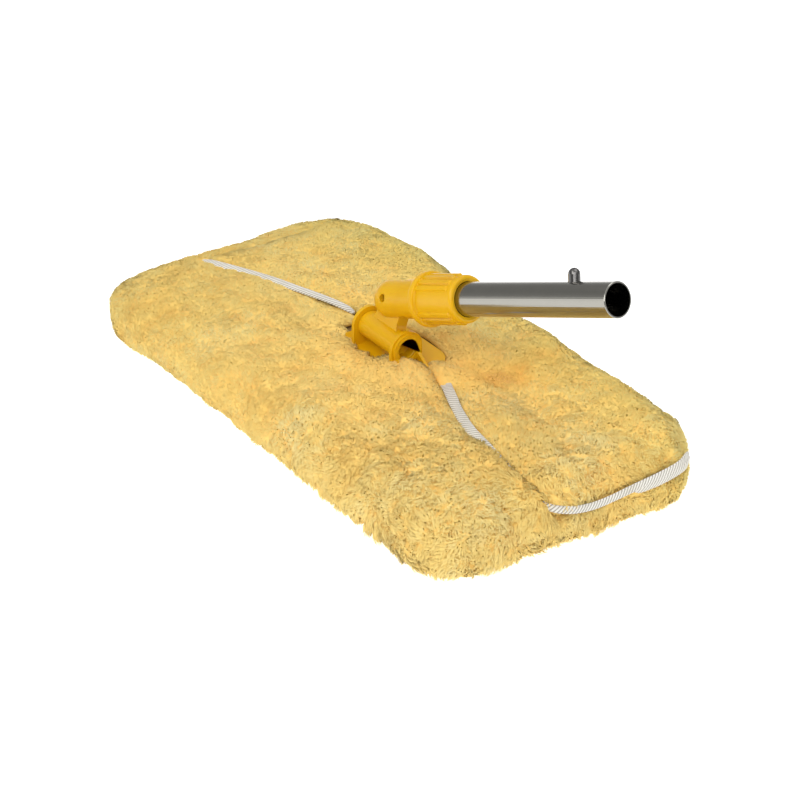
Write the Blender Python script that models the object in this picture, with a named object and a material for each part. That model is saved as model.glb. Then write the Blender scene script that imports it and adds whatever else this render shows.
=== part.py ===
"""Sheepskin wash-mop head: a wool pad on a backing plate, with a two-axis swivel and a tube stub.

Frame: X along the pad, Y across it, Z up, origin at the middle of the washing face. Units are metres.
The swivel leans at rest: the tee rolls about X, and the socket pitches about the pin in the tee's ear.
"""
from math import asin, cos, pi, radians, sin

import bmesh
import bpy
from mathutils import Vector

MM = 0.001

# Pad
PAD_LENGTH = 423 * MM
PAD_WIDTH = 215 * MM
PAD_HEIGHT = 46 * MM
PAD_CORNER = 48 * MM
PAD_EDGE = 18 * MM
SOLE_HEIGHT = 13 * MM
FOAM_SIZE = (374 * MM, 168 * MM)
FOAM_TOP = 32 * MM
PLATE_SIZE = (364 * MM, 160 * MM)
PLATE_THICK = 5 * MM
GAP = 0.3 * MM

# Flap, seam and bindings
FLAP_FLOOR = 30 * MM
FLAP_LEFT = -186 * MM
FLAP_RIGHT = 204 * MM
SEAM = [
    (-186, -27), (-155, -17), (-107, 2), (-63, 16), (44, 8),
    (73, -1), (116, -15), (154, -20), (230, -24),
]
OPENING_CENTRE = (-4 * MM, 5.5 * MM)
OPENING_RADII = (46 * MM, 29.5 * MM)
TAPE_WIDTH = 7 * MM
TAPE_THICK = 1.6 * MM

# Bracket and cross pin
BASE_SIZE = (72 * MM, 62 * MM)
BASE_THICK = 5.6 * MM
BASE_CORNER = 19 * MM
ROLL_AXIS_HEIGHT = 56.4 * MM
LUG_INNER = 20.4 * MM
LUG_PLATE = 2.6 * MM
LUG_BOSS = 1.6 * MM
LUG_RADIUS = 12.2 * MM
BOSS_RADIUS = 10.8 * MM
PIN_RADIUS = 7.3 * MM
PIN_BORE = 6.3 * MM
PIN_HOLLOW = 7 * MM
LUG_BORE = 7.6 * MM
PIN_RECESS = 1.2 * MM
GUSSET_Y = 8.5 * MM
GUSSET_THICK = 2.2 * MM
SCREW_SPACING = (54 * MM, 40 * MM)
SCREW_SHANK = 1.9 * MM
SCREW_HEAD = 3.8 * MM
SCREW_HEAD_HEIGHT = 2.2 * MM
SCREW_BITE = 2.7 * MM

# Tee
NECK = 25.563 * MM
BARREL_RADIUS = 9 * MM
BARREL_BORE = 7.6 * MM
EAR_HALF_WIDTH = 11.6 * MM
EAR_THICK = 8.4 * MM
EAR_PIN_HOLE = 2.8 * MM

# Socket, measured along the tube from the upper pin
SOCKET_RADIUS = 12.9 * MM
SOCKET_ROUND = 3.3 * MM
SLOT_DEPTH = 14.5 * MM
SLOT_WIDTH = 9.2 * MM
SOCKET_SHOULDER = 31.8 * MM
SPIGOT_RADIUS = 13.1 * MM
SPIGOT_END = 60 * MM
TUBE_START = 34 * MM
SOCKET_PIN_RADIUS = 2.45 * MM
SOCKET_PIN_LENGTH = 17.6 * MM

# Collar and collet
COLLAR_START = 32.3 * MM
COLLAR_END = 72 * MM
COLLAR_FLANGE = 4.5 * MM
FLANGE_RADIUS = 18.2 * MM
COLLAR_RADIUS = 15.5 * MM
RIB_HEIGHT = 1.1 * MM
RIBS_END = 67.5 * MM
COLLAR_BORE = 13.5 * MM
COLLAR_MOUTH = 11.4 * MM
COLLAR_DISH = 0.6 * MM
COLLAR_LIP = 4.4 * MM
COLLAR_TURN = radians(40)
COLLET_START = 60.4 * MM
COLLET_END = 67.2 * MM
COLLET_SLIT = 2.4 * MM

# Tube, button and spring
TUBE_RADIUS = 11.1 * MM
TUBE_WALL = 1 * MM
TUBE_END = 208 * MM
BUTTON_AT = 170.7 * MM
BUTTON_RADIUS = 3.8 * MM
BUTTON_STANDS = 8.2 * MM
BUTTON_HEAD_RADIUS = 5 * MM
BUTTON_HEAD = (7.2 * MM, 8.4 * MM)
BUTTON_HOLE = 4.1 * MM
BUTTON_ROLL = radians(4.9)
SPRING_WIDTH = 5 * MM
SPRING_THICK = 0.8 * MM
SPRING_BACK = 26 * MM
SPRING_FRONT = 7 * MM
SPRING_LOW = 8.2 * MM

# How the swivel stands at rest
ROLL_LEAN = radians(19.0)
PITCH_LEAN = radians(67.7)

YELLOW = ((0.93, 0.62, 0.02), 0.35, 0.0)
STEEL = ((0.62, 0.61, 0.58), 0.16, 1.0)
DARK_STEEL = ((0.35, 0.34, 0.32), 0.35, 1.0)
WOOL = ((0.83, 0.66, 0.36), 0.95, 0.0)
TAPE = ((0.88, 0.86, 0.80), 0.9, 0.0)
FOAM = ((0.75, 0.74, 0.68), 0.95, 0.0)
BOARD = ((0.16, 0.16, 0.17), 0.5, 0.0)


def clear_scene():
    for obj in list(bpy.data.objects):
        bpy.data.objects.remove(obj, do_unlink=True)


def finish_look(name, finish):
    colour, roughness, metallic = finish
    material = bpy.data.materials.new(name)
    material.use_nodes = True
    shader = material.node_tree.nodes["Principled BSDF"]
    shader.inputs["Base Color"].default_value = (*colour, 1)
    shader.inputs["Roughness"].default_value = roughness
    shader.inputs["Metallic"].default_value = metallic
    return material


def add_object(name, bm, finish=None, parent=None, smooth=True):
    """Make an object from a bmesh, with faces pointing out and sharp edges kept."""
    bmesh.ops.recalc_face_normals(bm, faces=bm.faces)
    mesh = bpy.data.meshes.new(name)
    bm.to_mesh(mesh)
    bm.free()
    if smooth:
        mesh.shade_smooth()
        mesh.set_sharp_from_angle(angle=radians(35))
    obj = bpy.data.objects.new(name, mesh)
    bpy.context.collection.objects.link(obj)
    obj.parent = parent
    if finish:
        mesh.materials.append(finish_look(name, finish))
    return obj


def add_empty(name, location, rotation=(0, 0, 0), parent=None):
    empty = bpy.data.objects.new(name, None)
    empty.location = location
    empty.rotation_euler = rotation
    empty.parent = parent
    empty.empty_display_size = 0.02
    bpy.context.collection.objects.link(empty)
    return empty


def skin_rings(bm, rings, cap_start=True, cap_end=True, loop=False):
    """Join rings of equal length with quads. loop joins the last ring to the first."""
    made = [[bm.verts.new(p) for p in ring] for ring in rings]
    pairs = list(zip(made, made[1:]))
    if loop:
        pairs.append((made[-1], made[0]))
    for low, high in pairs:
        count = len(low)
        for i in range(count):
            j = (i + 1) % count
            bm.faces.new((low[i], low[j], high[j], high[i]))
    if cap_start and not loop:
        bm.faces.new(list(reversed(made[0])))
    if cap_end and not loop:
        bm.faces.new(made[-1])


def circle(radius, z, count, start=0.0):
    angles = [start + 2 * pi * i / count for i in range(count)]
    return [Vector((radius * cos(a), radius * sin(a), z)) for a in angles]


def turned(profile, count=48, loop=False):
    """Turn a profile of (radius, z) about Z. loop closes it into a ring."""
    bm = bmesh.new()
    skin_rings(bm, [circle(r, z, count) for r, z in profile], loop=loop)
    return bm


def rounded_outline(length, width, radius, steps=8):
    """A rectangle with round corners, anticlockwise, as (x, y) pairs."""
    points = []
    for k, (sx, sy) in enumerate([(1, 1), (-1, 1), (-1, -1), (1, -1)]):
        for i in range(steps + 1):
            a = (k + i / steps) * pi / 2
            x = sx * (length / 2 - radius) + radius * cos(a)
            y = sy * (width / 2 - radius) + radius * sin(a)
            points.append((x, y))
    return points


def prism(outline, low, high):
    bm = bmesh.new()
    skin_rings(bm, [[Vector((x, y, z)) for x, y in outline] for z in (low, high)])
    return bm


def box(low, high):
    corners = [(low[0], low[1]), (high[0], low[1]), (high[0], high[1]), (low[0], high[1])]
    return prism(corners, low[2], high[2])


def guide(bm, name, parent=None):
    """A cutter: it shapes another object and isn't part of the model."""
    obj = add_object(name, bm, parent=parent, smooth=False)
    obj.hide_render = True
    obj.display_type = "WIRE"
    return obj


def boolean(target, tool, operation):
    mod = target.modifiers.new(tool.name, "BOOLEAN")
    mod.operation = operation
    mod.solver = "EXACT"
    mod.object = tool
    return mod


def arc(centre, radius, start, end, steps):
    """(radius, z) points of a profile's round corner, from one angle to the other in degrees."""
    points = []
    for i in range(steps + 1):
        a = radians(start + (end - start) * i / steps)
        points.append((centre[0] + radius * cos(a), centre[1] + radius * sin(a)))
    return points


# --- Pad ---------------------------------------------------------------------------------------------


def pad_shell():
    """The pad's outer form: a slab with round corners in plan and round edges in section."""
    rings = []
    steps = 5
    for z0, start, end in ((PAD_EDGE, -90, 0), (PAD_HEIGHT - PAD_EDGE, 0, 90)):
        for i in range(steps + 1):
            a = radians(start + (end - start) * i / steps)
            inset = PAD_EDGE * (1 - cos(a))
            outline = rounded_outline(PAD_LENGTH - 2 * inset, PAD_WIDTH - 2 * inset, PAD_CORNER - inset)
            rings.append([Vector((x, y, z0 + PAD_EDGE * sin(a))) for x, y in outline])
    bm = bmesh.new()
    skin_rings(bm, rings)
    return bm


def flap_outline(offset, right):
    """Plan of the flap: the seam on the near side, and well past the pad's far side."""
    near = [(x * MM, y * MM + offset) for x, y in SEAM if x * MM < right]
    last, after = near[-1], [(x * MM, y * MM + offset) for x, y in SEAM if x * MM >= right][0]
    share = (right - last[0]) / (after[0] - last[0])
    near.append((right, last[1] + share * (after[1] - last[1])))
    near[0] = (FLAP_LEFT + offset, near[0][1])
    far = PAD_WIDTH / 2 + 20 * MM
    return near + [(right, far), (FLAP_LEFT + offset, far)]


def opening_oval():
    count = 40
    angles = [2 * pi * i / count for i in range(count)]
    cx, cy = OPENING_CENTRE
    rx, ry = OPENING_RADII
    return [(cx + rx * cos(a), cy + ry * sin(a)) for a in angles]


def make_pad():
    core_low = SOLE_HEIGHT
    plate_low = FOAM_TOP + GAP
    plate_top = plate_low + PLATE_THICK
    base_top = plate_top + GAP + BASE_THICK
    beyond = PAD_HEIGHT + 20 * MM

    core_outline = rounded_outline(FOAM_SIZE[0] + 4 * MM, FOAM_SIZE[1] + 4 * MM, 22 * MM, 5)
    core = guide(prism(core_outline, core_low, plate_top + GAP), "core_space")
    base_outline = rounded_outline(BASE_SIZE[0] + 1 * MM, BASE_SIZE[1] + 1 * MM, BASE_CORNER + 0.5 * MM, 6)
    base_space = guide(prism(base_outline, plate_top, base_top + 0.5 * MM), "base_space")
    opening = guide(prism(opening_oval(), plate_top - 2 * MM, beyond), "swivel_opening")

    sleeve = add_object("wool_sleeve", pad_shell(), WOOL)
    for tool in (core, base_space, opening):
        boolean(sleeve, tool, "DIFFERENCE")
    flap_space = guide(prism(flap_outline(-GAP, PAD_LENGTH / 2 + 10 * MM), FLAP_FLOOR, beyond), "flap_space")
    boolean(sleeve, flap_space, "DIFFERENCE")

    flap = add_object("wool_flap", pad_shell(), WOOL)
    flap_form = guide(prism(flap_outline(GAP, FLAP_RIGHT), FLAP_FLOOR + GAP, beyond), "flap_form")
    boolean(flap, flap_form, "INTERSECT")
    for tool in (core, base_space, opening):
        boolean(flap, tool, "DIFFERENCE")

    foam = add_object("foam_block", foam_solid(core_low + GAP), FOAM)
    plate_outline = rounded_outline(*PLATE_SIZE, 18 * MM, 5)
    plate = add_object("backing_plate", prism(plate_outline, plate_low, plate_top), BOARD)
    pocket_radius = SCREW_HEAD + 1 * MM
    hole_radius = SCREW_SHANK + 0.3 * MM
    for index, (x, y) in enumerate(screw_places()):
        pocket = turned([(pocket_radius, FOAM_TOP - 3 * MM), (pocket_radius, FOAM_TOP + 1 * MM)], 20)
        place(guide(pocket, f"screw_pocket_{index + 1}"), foam, x, y)
        hole = turned([(hole_radius, plate_low - 1 * MM), (hole_radius, plate_top + 1 * MM)], 20)
        place(guide(hole, f"plate_hole_{index + 1}"), plate, x, y)


def foam_solid(low):
    return prism(rounded_outline(*FOAM_SIZE, 20 * MM, 5), low, FOAM_TOP)


def place(tool, target, x, y):
    tool.location = (x, y, 0)
    boolean(target, tool, "DIFFERENCE")


def screw_places():
    return [(sx * SCREW_SPACING[0] / 2, sy * SCREW_SPACING[1] / 2) for sx in (-1, 1) for sy in (-1, 1)]


def make_screws():
    """Pan-head screws from below, with a recess in the head, biting into the bracket's base."""
    plate_low = FOAM_TOP + GAP
    head_low = plate_low - GAP - SCREW_HEAD_HEIGHT
    tip = plate_low + PLATE_THICK + GAP + SCREW_BITE
    profile = [
        (1.6 * MM, head_low + 1.2 * MM),
        (1.6 * MM, head_low),
        (SCREW_HEAD - 0.8 * MM, head_low),
        (SCREW_HEAD, head_low + 0.8 * MM),
        (SCREW_HEAD, plate_low - GAP),
        (SCREW_SHANK, plate_low - GAP),
        (SCREW_SHANK, tip - 0.8 * MM),
        (0.8 * MM, tip),
    ]
    for index, (x, y) in enumerate(screw_places()):
        screw = add_object(f"bracket_screw_{index + 1}", turned(profile, 16), DARK_STEEL)
        screw.location = (x, y, 0)


# --- Bindings ----------------------------------------------------------------------------------------


def smooth_path(points, per_span=4):
    """Catmull-Rom points through the given ones."""
    knots = [Vector(p) for p in points]
    knots = [2 * knots[0] - knots[1]] + knots + [2 * knots[-1] - knots[-2]]
    path = []
    for a, b, c, d in zip(knots, knots[1:], knots[2:], knots[3:]):
        for i in range(per_span):
            t = i / per_span
            path.append(0.5 * (2 * b + (c - a) * t + (2 * a - 5 * b + 4 * c - d) * t**2
                               + (3 * b - a - 3 * c + d) * t**3))
    return path + [knots[-2]]


def make_strip(name, points, faces_out, finish):
    """A flat tape along points. faces_out gives the way its face looks at the two ends."""
    path = smooth_path([(x * MM, y * MM, z * MM) for x, y, z in points])
    rings = []
    for i, p in enumerate(path):
        along = (path[min(i + 1, len(path) - 1)] - path[max(i - 1, 0)]).normalized()
        share = i / (len(path) - 1)
        out = Vector(faces_out[0]).lerp(Vector(faces_out[1]), share**2)
        out = (out - along * out.dot(along)).normalized()
        side = along.cross(out) * TAPE_WIDTH / 2
        lift = out * TAPE_THICK
        rings.append([p - side, p + side, p + side + lift, p - side + lift])
    bm = bmesh.new()
    skin_rings(bm, rings)
    return add_object(name, bm, finish)


def make_bindings():
    top = PAD_HEIGHT / MM + 0.4
    end = FLAP_RIGHT / MM + 0.5
    slit = [(-182, -31, top - 0.2), (-155, -22, top), (-107, -3, top), (-66, 11, top)]
    make_strip("slit_tape", slit, ((0, 0, 1), (0, 0, 1)), TAPE)
    edge = [(52, 11, top), (73, 5, top), (116, -9, top), (154, -14, top), (186, -16, top)]
    make_strip("flap_tape", edge, ((0, 0, 1), (0, 0, 1)), TAPE)
    pocket = [(end, -8, 36), (end, 20, 34.2), (end, 56, 34.2), (end, 72, 35)]
    make_strip("pocket_tape", pocket, ((1, 0, 0), (1, 0, 0)), TAPE)


# --- Bracket -----------------------------------------------------------------------------------------


def lug_outline(radius, foot):
    """A lug seen along X: a half circle about the roll axis on straight sides down to the base."""
    points = [(radius, foot)]
    steps = 20
    for i in range(steps + 1):
        a = pi * i / steps
        points.append((radius * cos(a), ROLL_AXIS_HEIGHT + radius * sin(a)))
    return points + [(-radius, foot)]


def slab_across(outline, x_low, x_high):
    """Extrude a (y, z) outline along X."""
    bm = bmesh.new()
    skin_rings(bm, [[Vector((x, y, z)) for y, z in outline] for x in (x_low, x_high)])
    return bm


def disc_across(radius, x_low, x_high, count=40, z=ROLL_AXIS_HEIGHT):
    outline = [(radius * cos(2 * pi * i / count), z + radius * sin(2 * pi * i / count)) for i in range(count)]
    return slab_across(outline, x_low, x_high)


def gusset(side, y):
    """A sloping rib from the lug's outer face down to the base's edge."""
    foot = base_top() - 1 * MM
    inner = LUG_INNER + LUG_PLATE - 0.6 * MM
    outer = BASE_SIZE[0] / 2 - 1.2 * MM
    profile = [(inner, foot), (outer, foot), (outer, base_top() + 2.4 * MM), (inner, base_top() + 10.5 * MM)]
    bm = bmesh.new()
    rings = []
    for edge in (y - GUSSET_THICK / 2, y + GUSSET_THICK / 2):
        rings.append([Vector((side * x, edge, z)) for x, z in profile])
    skin_rings(bm, rings)
    return bm


def base_bottom():
    return FOAM_TOP + GAP + PLATE_THICK + GAP


def base_top():
    return base_bottom() + BASE_THICK


def make_bracket():
    plan = rounded_outline(*BASE_SIZE, BASE_CORNER, 6)
    bracket = add_object("swivel_bracket", prism(plan, base_bottom(), base_top()), YELLOW)
    foot = base_top() - 1 * MM
    for side, word in ((-1, "left"), (1, "right")):
        plate = slab_across(lug_outline(LUG_RADIUS, foot), side * LUG_INNER, side * (LUG_INNER + LUG_PLATE))
        boolean(bracket, guide(plate, f"lug_{word}"), "UNION")
        outer = LUG_INNER + LUG_PLATE + LUG_BOSS
        boss = disc_across(BOSS_RADIUS, side * (LUG_INNER + 0.9 * MM), side * outer)
        boolean(bracket, guide(boss, f"boss_{word}"), "UNION")
        for sy in (-1, 1):
            rib = gusset(side, sy * GUSSET_Y)
            boolean(bracket, guide(rib, f"gusset_{word}_{'near' if sy < 0 else 'far'}"), "UNION")
    reach = LUG_INNER + LUG_PLATE + LUG_BOSS + 5 * MM
    boolean(bracket, guide(disc_across(LUG_BORE, -reach, reach), "cross_bore"), "DIFFERENCE")
    for index, (x, y) in enumerate(screw_places()):
        bore = turned([(SCREW_SHANK + 0.3 * MM, base_bottom() - 1 * MM),
                       (SCREW_SHANK + 0.3 * MM, base_bottom() + SCREW_BITE + 0.4 * MM)], 20)
        place(guide(bore, f"screw_bore_{index + 1}"), bracket, x, y)
    edge = bracket.modifiers.new("soft_edges", "BEVEL")
    edge.width = 0.35 * MM
    edge.segments = 1
    edge.angle_limit = radians(50)
    edge.harden_normals = False

    end = LUG_INNER + LUG_PLATE + LUG_BOSS - PIN_RECESS
    pin = add_object("cross_pin", disc_across(PIN_RADIUS, -end, end), YELLOW)
    for side, word in ((-1, "left"), (1, "right")):
        hollow = disc_across(PIN_BORE, side * (end - PIN_HOLLOW), side * reach)
        boolean(pin, guide(hollow, f"pin_hollow_{word}"), "DIFFERENCE")
    pin_edge = pin.modifiers.new("chamfer", "BEVEL")
    pin_edge.width = 0.3 * MM
    pin_edge.segments = 1
    pin_edge.angle_limit = radians(60)


# --- Tee ---------------------------------------------------------------------------------------------


def make_tee(roll_axis):
    """Barrel along X at the empty, and an ear up local Z with its pin hole along local Y."""
    barrel_end = LUG_INNER - 0.4 * MM
    barrel = disc_across(BARREL_RADIUS, -barrel_end, barrel_end, 40, 0)
    tee = add_object("pivot_tee", barrel, YELLOW, roll_axis)
    outline = [(EAR_HALF_WIDTH + 3 * MM, 3 * MM), (EAR_HALF_WIDTH, 11.5 * MM)]
    steps = 18
    for i in range(steps + 1):
        a = pi * i / steps
        outline.append((EAR_HALF_WIDTH * cos(a), NECK + EAR_HALF_WIDTH * sin(a)))
    outline += [(-EAR_HALF_WIDTH, 11.5 * MM), (-EAR_HALF_WIDTH - 3 * MM, 3 * MM)]
    ear = bmesh.new()
    half = EAR_THICK / 2
    skin_rings(ear, [[Vector((x, y, z)) for x, z in outline] for y in (-half, half)])
    boolean(tee, guide(ear, "ear", roll_axis), "UNION")
    bore = disc_across(BARREL_BORE, -40 * MM, 40 * MM, 40, 0)
    boolean(tee, guide(bore, "barrel_bore", roll_axis), "DIFFERENCE")
    hole = guide(turned([(EAR_PIN_HOLE, -20 * MM), (EAR_PIN_HOLE, 20 * MM)], 24), "ear_hole", roll_axis)
    hole.location = (0, 0, NECK)
    hole.rotation_euler = (pi / 2, 0, 0)
    boolean(tee, hole, "DIFFERENCE")
    soft = tee.modifiers.new("soft_edges", "BEVEL")
    soft.width = 0.4 * MM
    soft.segments = 1
    soft.angle_limit = radians(50)


# --- Socket, collar, tube ----------------------------------------------------------------------------


def make_socket(pitch_axis):
    """Round-ended fork; local Z runs along the tube, and the pin lies along local Y."""
    steps = 7
    dome = []
    for i in range(1, steps + 1):
        a = pi / 2 * i / steps
        dome.append((SOCKET_RADIUS * sin(a), -SOCKET_ROUND - SOCKET_RADIUS * cos(a)))
    profile = dome + [
        (SOCKET_RADIUS, SOCKET_SHOULDER),
        (SPIGOT_RADIUS, SOCKET_SHOULDER + GAP),
        (SPIGOT_RADIUS, SPIGOT_END - 0.6 * MM),
        (SPIGOT_RADIUS - 0.6 * MM, SPIGOT_END),
        (TUBE_RADIUS + GAP, SPIGOT_END),
        (TUBE_RADIUS + GAP, TUBE_START - GAP),
    ]
    socket = add_object("handle_socket", turned(profile, 48), YELLOW, pitch_axis)
    wide = SOCKET_RADIUS + 4 * MM
    slot = box((-wide, -SLOT_WIDTH / 2, -20 * MM), (wide, SLOT_WIDTH / 2, SLOT_DEPTH))
    boolean(socket, guide(slot, "fork_slot", pitch_axis), "DIFFERENCE")
    hole = guide(turned([(SOCKET_PIN_RADIUS + GAP, -20 * MM), (SOCKET_PIN_RADIUS + GAP, 20 * MM)], 24),
                 "fork_hole", pitch_axis)
    hole.rotation_euler = (pi / 2, 0, 0)
    boolean(socket, hole, "DIFFERENCE")
    soft = socket.modifiers.new("soft_edges", "BEVEL")
    soft.width = 0.35 * MM
    soft.segments = 1
    soft.angle_limit = radians(50)

    half = SOCKET_PIN_LENGTH / 2
    profile = [
        (SOCKET_PIN_RADIUS - 0.4 * MM, -half),
        (SOCKET_PIN_RADIUS, -half + 0.4 * MM),
        (SOCKET_PIN_RADIUS, half - 0.4 * MM),
        (SOCKET_PIN_RADIUS - 0.4 * MM, half),
    ]
    pin = add_object("socket_pin", turned(profile, 24), DARK_STEEL, pitch_axis)
    pin.rotation_euler = (pi / 2, 0, 0)


def collar_ring(z, radius, ribbed, count):
    """One ring of the collar: three groups of four ribs, 18 degrees apart."""
    ring = []
    for i in range(count):
        a = radians(1.5 + 360 * i / count)
        from_group = (a * 180 / pi) % 120 - 60
        on_rib = any(abs(abs(from_group) - middle) < 4.6 for middle in (9, 27))
        r = radius + (RIB_HEIGHT if ribbed and on_rib else 0)
        ring.append(Vector((r * cos(a), r * sin(a), z)))
    return ring


def make_collar(pitch_axis):
    count = 120
    flange_end = COLLAR_START + COLLAR_FLANGE
    lip = COLLAR_END - COLLAR_LIP
    back, front, round_end = 1.4 * MM, 1.2 * MM, 2.2 * MM
    flange = arc((FLANGE_RADIUS - back, COLLAR_START + back), back, -90, 0, 3)
    flange += arc((FLANGE_RADIUS - front, flange_end - front), front, 0, 90, 3)
    stations = [(r, z, False) for r, z in flange]
    stations += [
        (COLLAR_RADIUS + RIB_HEIGHT + 0.1 * MM, flange_end + 0.05 * MM, False),
        (COLLAR_RADIUS, flange_end + 0.7 * MM, True),
        (COLLAR_RADIUS, RIBS_END - 0.8 * MM, True),
        (COLLAR_RADIUS, RIBS_END, False),
    ]
    round_off = arc((COLLAR_RADIUS - round_end, COLLAR_END - round_end), round_end, 0, 90, 4)
    stations += [(r, z, False) for r, z in round_off]
    stations += [
        (COLLAR_MOUTH, COLLAR_END - COLLAR_DISH, False),
        (COLLAR_MOUTH, lip, False),
        (COLLAR_BORE, lip, False),
        (COLLAR_BORE, COLLAR_START, False),
    ]
    bm = bmesh.new()
    skin_rings(bm, [collar_ring(z, r, ribbed, count) for r, z, ribbed in stations], loop=True)
    collar = add_object("lock_collar", bm, YELLOW, pitch_axis)
    collar.rotation_euler = (0, 0, COLLAR_TURN)


def make_collet(pitch_axis):
    """Split sleeve round the tube; its slit is a flat-sided gap."""
    inner = TUBE_RADIUS + GAP
    outer = COLLAR_BORE - GAP
    bm = bmesh.new()
    half = asin(COLLET_SLIT / 2 / outer)
    steps = 40
    rings = []
    for i in range(steps + 1):
        a = half + (2 * pi - 2 * half) * i / steps
        rings.append([
            Vector((inner * cos(a), inner * sin(a), COLLET_START)),
            Vector((outer * cos(a), outer * sin(a), COLLET_START)),
            Vector((outer * cos(a), outer * sin(a), COLLET_END - 1 * MM)),
            Vector(((outer - 0.8 * MM) * cos(a), (outer - 0.8 * MM) * sin(a), COLLET_END)),
            Vector((inner * cos(a), inner * sin(a), COLLET_END)),
        ])
    skin_rings(bm, rings)
    add_object("collet", bm, TAPE, pitch_axis)


def make_tube(pitch_axis):
    inner = TUBE_RADIUS - TUBE_WALL
    chamfer = 0.3 * MM
    profile = [
        (inner, TUBE_START),
        (TUBE_RADIUS, TUBE_START),
        (TUBE_RADIUS, TUBE_END - chamfer),
        (TUBE_RADIUS - chamfer, TUBE_END),
        (inner, TUBE_END),
    ]
    tube = add_object("tube", turned(profile, 56, loop=True), STEEL, pitch_axis)
    hole = guide(turned([(BUTTON_HOLE, 4 * MM), (BUTTON_HOLE, 20 * MM)], 32), "button_hole", pitch_axis)
    aim_button(hole)
    boolean(tube, hole, "DIFFERENCE")


def aim_button(obj):
    """Put an object's local Z along the button's way out of the tube."""
    obj.location = (0, 0, BUTTON_AT)
    obj.rotation_euler = (0, -pi / 2, BUTTON_ROLL)


def make_button(pitch_axis):
    top = TUBE_RADIUS + BUTTON_STANDS
    low, high = BUTTON_HEAD
    profile = [(BUTTON_HEAD_RADIUS, low), (BUTTON_HEAD_RADIUS, high), (BUTTON_RADIUS, high)]
    profile += [(BUTTON_RADIUS * cos(a), top - BUTTON_RADIUS + BUTTON_RADIUS * sin(a))
                for a in [pi / 2 * i / 6 for i in range(6)]]
    profile.append((0.4 * MM, top))
    button = add_object("snap_button", turned(profile, 28), STEEL, pitch_axis)
    aim_button(button)


def make_button_spring(pitch_axis):
    """Leaf spring folded like a V: one leg under the button's head, the other along the tube's floor."""
    upper = BUTTON_HEAD[0] - GAP - SPRING_THICK / 2
    path = [(-SPRING_LOW, SPRING_FRONT)]
    path.append((-SPRING_LOW, -SPRING_BACK + 4 * MM))
    bend = 4 * MM
    for i in range(1, 8):
        a = pi + pi * i / 8
        path.append((-SPRING_LOW + bend * (1 + cos(a)) + 0.4 * MM, -SPRING_BACK + 4 * MM + bend * sin(a)))
    path.append((upper - 2.6 * MM, -BUTTON_HEAD_RADIUS - 3 * MM))
    path.append((upper, -BUTTON_HEAD_RADIUS + 1 * MM))
    path.append((upper, BUTTON_HEAD_RADIUS - 1 * MM))
    rings = []
    for i, (height, along) in enumerate(path):
        before = path[max(i - 1, 0)]
        after = path[min(i + 1, len(path) - 1)]
        run = Vector((after[0] - before[0], after[1] - before[1])).normalized()
        normal = Vector((-run.y, run.x)) * SPRING_THICK / 2
        ring = []
        for side, face in ((-1, -1), (1, -1), (1, 1), (-1, 1)):
            ring.append(Vector((along + face * normal.y, side * SPRING_WIDTH / 2, height + face * normal.x)))
        rings.append(ring)
    bm = bmesh.new()
    skin_rings(bm, rings)
    spring = add_object("button_spring", bm, DARK_STEEL, pitch_axis)
    aim_button(spring)


clear_scene()
make_pad()
make_bindings()
make_screws()
make_bracket()
roll = add_empty("roll_axis", (0, 0, ROLL_AXIS_HEIGHT), (-ROLL_LEAN, 0, 0))
make_tee(roll)
pitch = add_empty("pitch_axis", (0, 0, NECK), (0, PITCH_LEAN, 0), roll)
make_socket(pitch)
make_collar(pitch)
make_collet(pitch)
make_tube(pitch)
make_button(pitch)
make_button_spring(pitch)
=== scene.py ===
"""Looks for the sheepskin wash-mop head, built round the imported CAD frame.

Lengths are in mm unless a comment says m: x along the pad, y across it, z up from its sole.
"""
from math import cos, pi, sin

import bpy
import numpy as np
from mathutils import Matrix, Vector, kdtree


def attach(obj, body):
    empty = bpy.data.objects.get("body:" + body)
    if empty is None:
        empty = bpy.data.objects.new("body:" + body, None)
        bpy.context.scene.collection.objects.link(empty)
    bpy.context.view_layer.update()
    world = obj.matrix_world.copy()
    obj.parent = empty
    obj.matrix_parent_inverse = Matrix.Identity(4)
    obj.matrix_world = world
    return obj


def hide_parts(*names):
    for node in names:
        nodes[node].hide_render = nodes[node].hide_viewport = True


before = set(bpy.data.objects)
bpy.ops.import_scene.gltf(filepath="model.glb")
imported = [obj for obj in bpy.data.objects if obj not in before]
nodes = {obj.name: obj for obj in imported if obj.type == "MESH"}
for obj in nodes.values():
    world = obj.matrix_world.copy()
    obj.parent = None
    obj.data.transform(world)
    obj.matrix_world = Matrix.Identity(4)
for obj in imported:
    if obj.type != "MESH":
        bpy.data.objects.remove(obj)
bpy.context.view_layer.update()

MM = 0.001

# Pad form, as in the CAD part
HALF_LENGTH, HALF_WIDTH, HEIGHT = 211.5, 107.5, 46.0
CORNER, EDGE = 48.0, 18.0
OPENING_CENTRE = np.array([-4.0, 5.5])
OPENING_RADII = np.array([46.0, 29.5])
CAVITY_DEPTH = 7.6

# Wool base: its grid, and the cloth run that swells it
VOXEL = 4.0
HELD_DEPTH = 5.0
PUFF_FRAMES = 20
PUFF_CAP = 3.0
SETTLE = 2.5
DEEPEST = 6.0
BASE_CLEAR = 0.6

# Pile: clump widths, how far the locks stay off the floor and the bindings, and how many there are
CLUMP = 7.0
BIG_CLUMP = 15.0
FLOOR_CLEAR = 0.15
TAPE_CLEAR = (2.8, 4.6)
LAYERS = 3
SOLE_SHARE = 0.12
SOLE_LOCK = 2.0
ROOT_DEPTH = 0.6
LOCK_POINTS = 7
SEED = 7

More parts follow.
